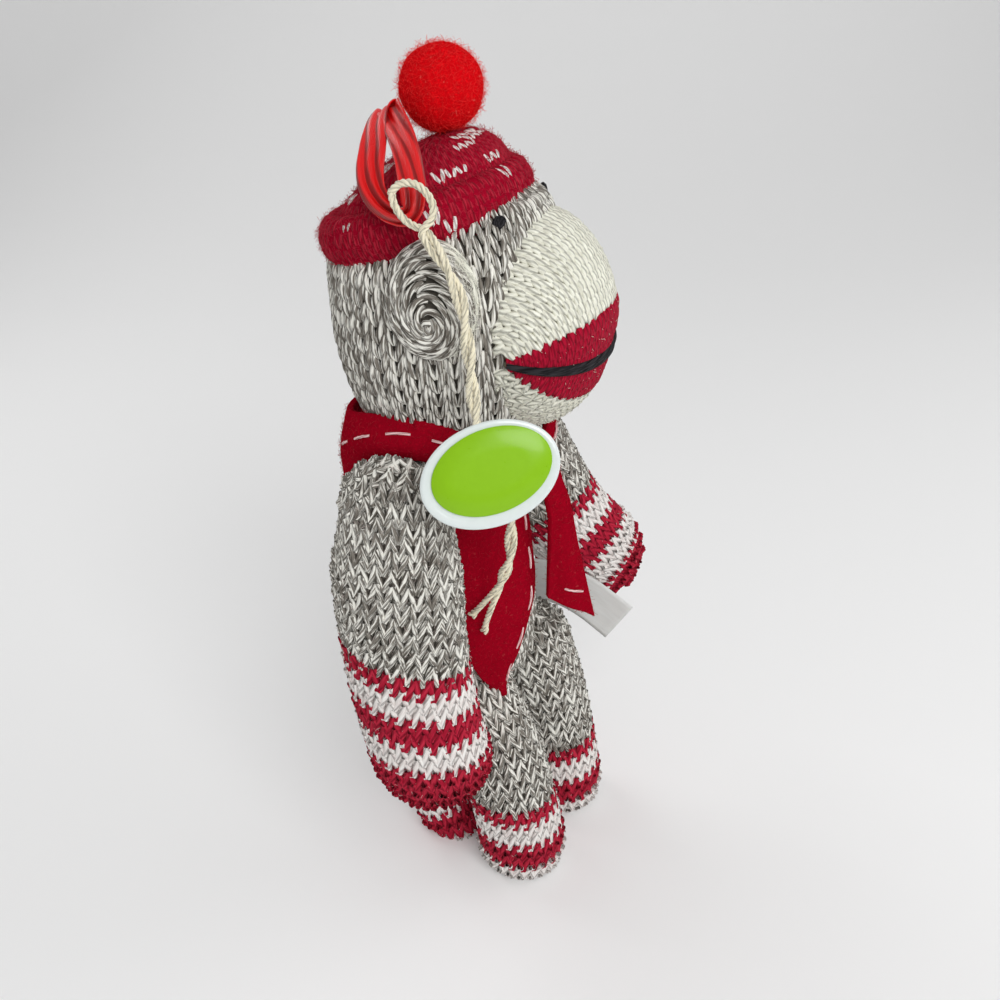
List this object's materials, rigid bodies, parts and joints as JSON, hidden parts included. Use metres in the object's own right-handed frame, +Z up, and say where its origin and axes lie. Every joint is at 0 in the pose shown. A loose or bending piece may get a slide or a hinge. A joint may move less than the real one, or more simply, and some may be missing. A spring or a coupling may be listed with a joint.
{
  "type": "knitted sock monkey doll",
  "caption": "Knitted sock monkey with striped hands, feet and tail, rolled-brim hat, felt scarf, hang tag on a ribbon; stands on its feet and tail.",
  "frame": {"origin": "on the ground, at the middle of the standing doll's outline seen from above", "axes": "+Z up; the face looks along -Y; the doll's right arm is on -X"},
  "size_m": [0.081, 0.0553, 0.1781],
  "materials": {
    "marl_knit": "grey-brown and white two-ply knit",
    "cream_knit": "fine cream knit",
    "crimson_knit": "crimson knit, striped with white on hands, feet and tail",
    "hat_knit": "brushed crimson knit with white marks",
    "scarf_felt": "matte red felt",
    "pompom_felt": "bright red fuzzy felt",
    "ribbon_satin": "glossy red satin",
    "black_yarn": "black yarn",
    "filling": "white fibre filling",
    "tag_cord": "soft cream twisted string",
    "tag_card": "glossy coated white card",
    "tag_green": "glossy green print layer",
    "label_satin": "white satin tape",
    "pale_thread": "pale pink thread"
  },
  "bodies": {
    "torso": {"torso_shell": "marl_knit", "torso_stuffing": "filling", "scarf_collar": "scarf_felt", "collar_stitch_1": "pale_thread", "collar_stitch_2": "pale_thread", "collar_stitch_3": "pale_thread", "care_label": "label_satin"},
    "head": {"head_shell": "marl_knit", "head_stuffing": "filling", "neck_yarn": "marl_knit", "muzzle_top": "cream_knit", "upper_lip": "crimson_knit", "lower_lip": "crimson_knit", "chin": "cream_knit", "muzzle_stuffing": "filling", "mouth_line": "black_yarn", "right_eye": "black_yarn", "left_eye": "black_yarn", "right_ear": "marl_knit", "left_ear": "marl_knit", "hat_crown": "hat_knit", "hat_brim": "hat_knit", "pompom": "pompom_felt"},
    "ribbon": {"ribbon_loop": "ribbon_satin"},
    "tag": {"tag_string_back": "tag_cord", "tag_string_front": "tag_cord", "hang_tag": "tag_card", "tag_sticker": "tag_green"},
    "right_shoulder": {"right_shoulder_yarn": "marl_knit"},
    "right_arm": {"right_arm_sleeve": "marl_knit", "right_hand": "crimson_knit", "right_arm_stuffing": "filling"},
    "left_shoulder": {"left_shoulder_yarn": "marl_knit"},
    "left_arm": {"left_arm_sleeve": "marl_knit", "left_hand": "crimson_knit", "left_arm_stuffing": "filling"},
    "right_leg": {"right_leg_sleeve": "marl_knit", "right_foot": "crimson_knit", "right_leg_stuffing": "filling"},
    "left_leg": {"left_leg_sleeve": "marl_knit", "left_foot": "crimson_knit", "left_leg_stuffing": "filling"},
    "tail": {"tail_sleeve": "marl_knit", "tail_end": "crimson_knit", "tail_stuffing": "filling"},
    "long_scarf_tail": {"scarf_long_tail": "scarf_felt", "long_tail_stitch_1": "pale_thread", "long_tail_stitch_2": "pale_thread", "long_tail_stitch_3": "pale_thread"},
    "short_scarf_tail": {"scarf_short_tail": "scarf_felt", "short_tail_stitch_1": "pale_thread", "short_tail_stitch_2": "pale_thread", "short_tail_stitch_3": "pale_thread"}
  },
  "joints": [
    {"name": "head_turn", "type": "hinge", "parent": "torso", "child": "head", "pos_m": [-0.0008, 0.0048, 0.1054], "axis": [0, 0, 1], "range_deg": [-8, 8]},
    {"name": "ribbon_lift", "type": "hinge", "parent": "head", "child": "ribbon", "pos_m": [-0.0098, 0.0026, 0.1694], "axis": [0, 1, 0], "range_deg": [0, 60]},
    {"name": "tag_swing", "type": "hinge", "parent": "ribbon", "child": "tag", "pos_m": [-0.0236, -0.0052, 0.1596], "axis": [-1, 0, 0], "range_deg": [0, 25]},
    {"name": "right_arm_swing", "type": "hinge", "parent": "torso", "child": "right_shoulder", "pos_m": [-0.026, 0.006, 0.103], "axis": [-1, 0, 0], "range_deg": [0, 25]},
    {"name": "right_arm_raise", "type": "hinge", "parent": "right_shoulder", "child": "right_arm", "pos_m": [-0.026, 0.006, 0.103], "axis": [0, 1, 0], "range_deg": [0, 70]},
    {"name": "left_arm_swing", "type": "hinge", "parent": "torso", "child": "left_shoulder", "pos_m": [0.0244, 0.006, 0.103], "axis": [-1, 0, 0], "range_deg": [-30, 40]},
    {"name": "left_arm_raise", "type": "hinge", "parent": "left_shoulder", "child": "left_arm", "pos_m": [0.0244, 0.006, 0.103], "axis": [0, -1, 0], "range_deg": [0, 70]},
    {"name": "right_leg_swing", "type": "hinge", "parent": "torso", "child": "right_leg", "pos_m": [-0.0108, 0.0015, 0.048], "axis": [-1, 0, 0], "range_deg": [0, 75]},
    {"name": "left_leg_swing", "type": "hinge", "parent": "torso", "child": "left_leg", "pos_m": [0.0092, -0.0055, 0.048], "axis": [-1, 0, 0], "range_deg": [0, 75]},
    {"name": "tail_swing", "type": "hinge", "parent": "torso", "child": "tail", "pos_m": [-0.0028, 0.017, 0.05], "axis": [1, 0, 0], "range_deg": [0, 60]},
    {"name": "long_tail_lift", "type": "hinge", "parent": "torso", "child": "long_scarf_tail", "pos_m": [-0.0008, -0.014, 0.097], "axis": [-1, 0, 0], "range_deg": [0, 50]},
    {"name": "short_tail_lift", "type": "hinge", "parent": "torso", "child": "short_scarf_tail", "pos_m": [-0.0008, -0.014, 0.097], "axis": [-1, 0, 0], "range_deg": [0, 30]}
  ],
  "couplings": [
    {"joint": "long_tail_lift", "follows": "right_leg_swing", "ratio": 0.6},
    {"joint": "short_tail_lift", "follows": "left_leg_swing", "ratio": 0.3}
  ]
}
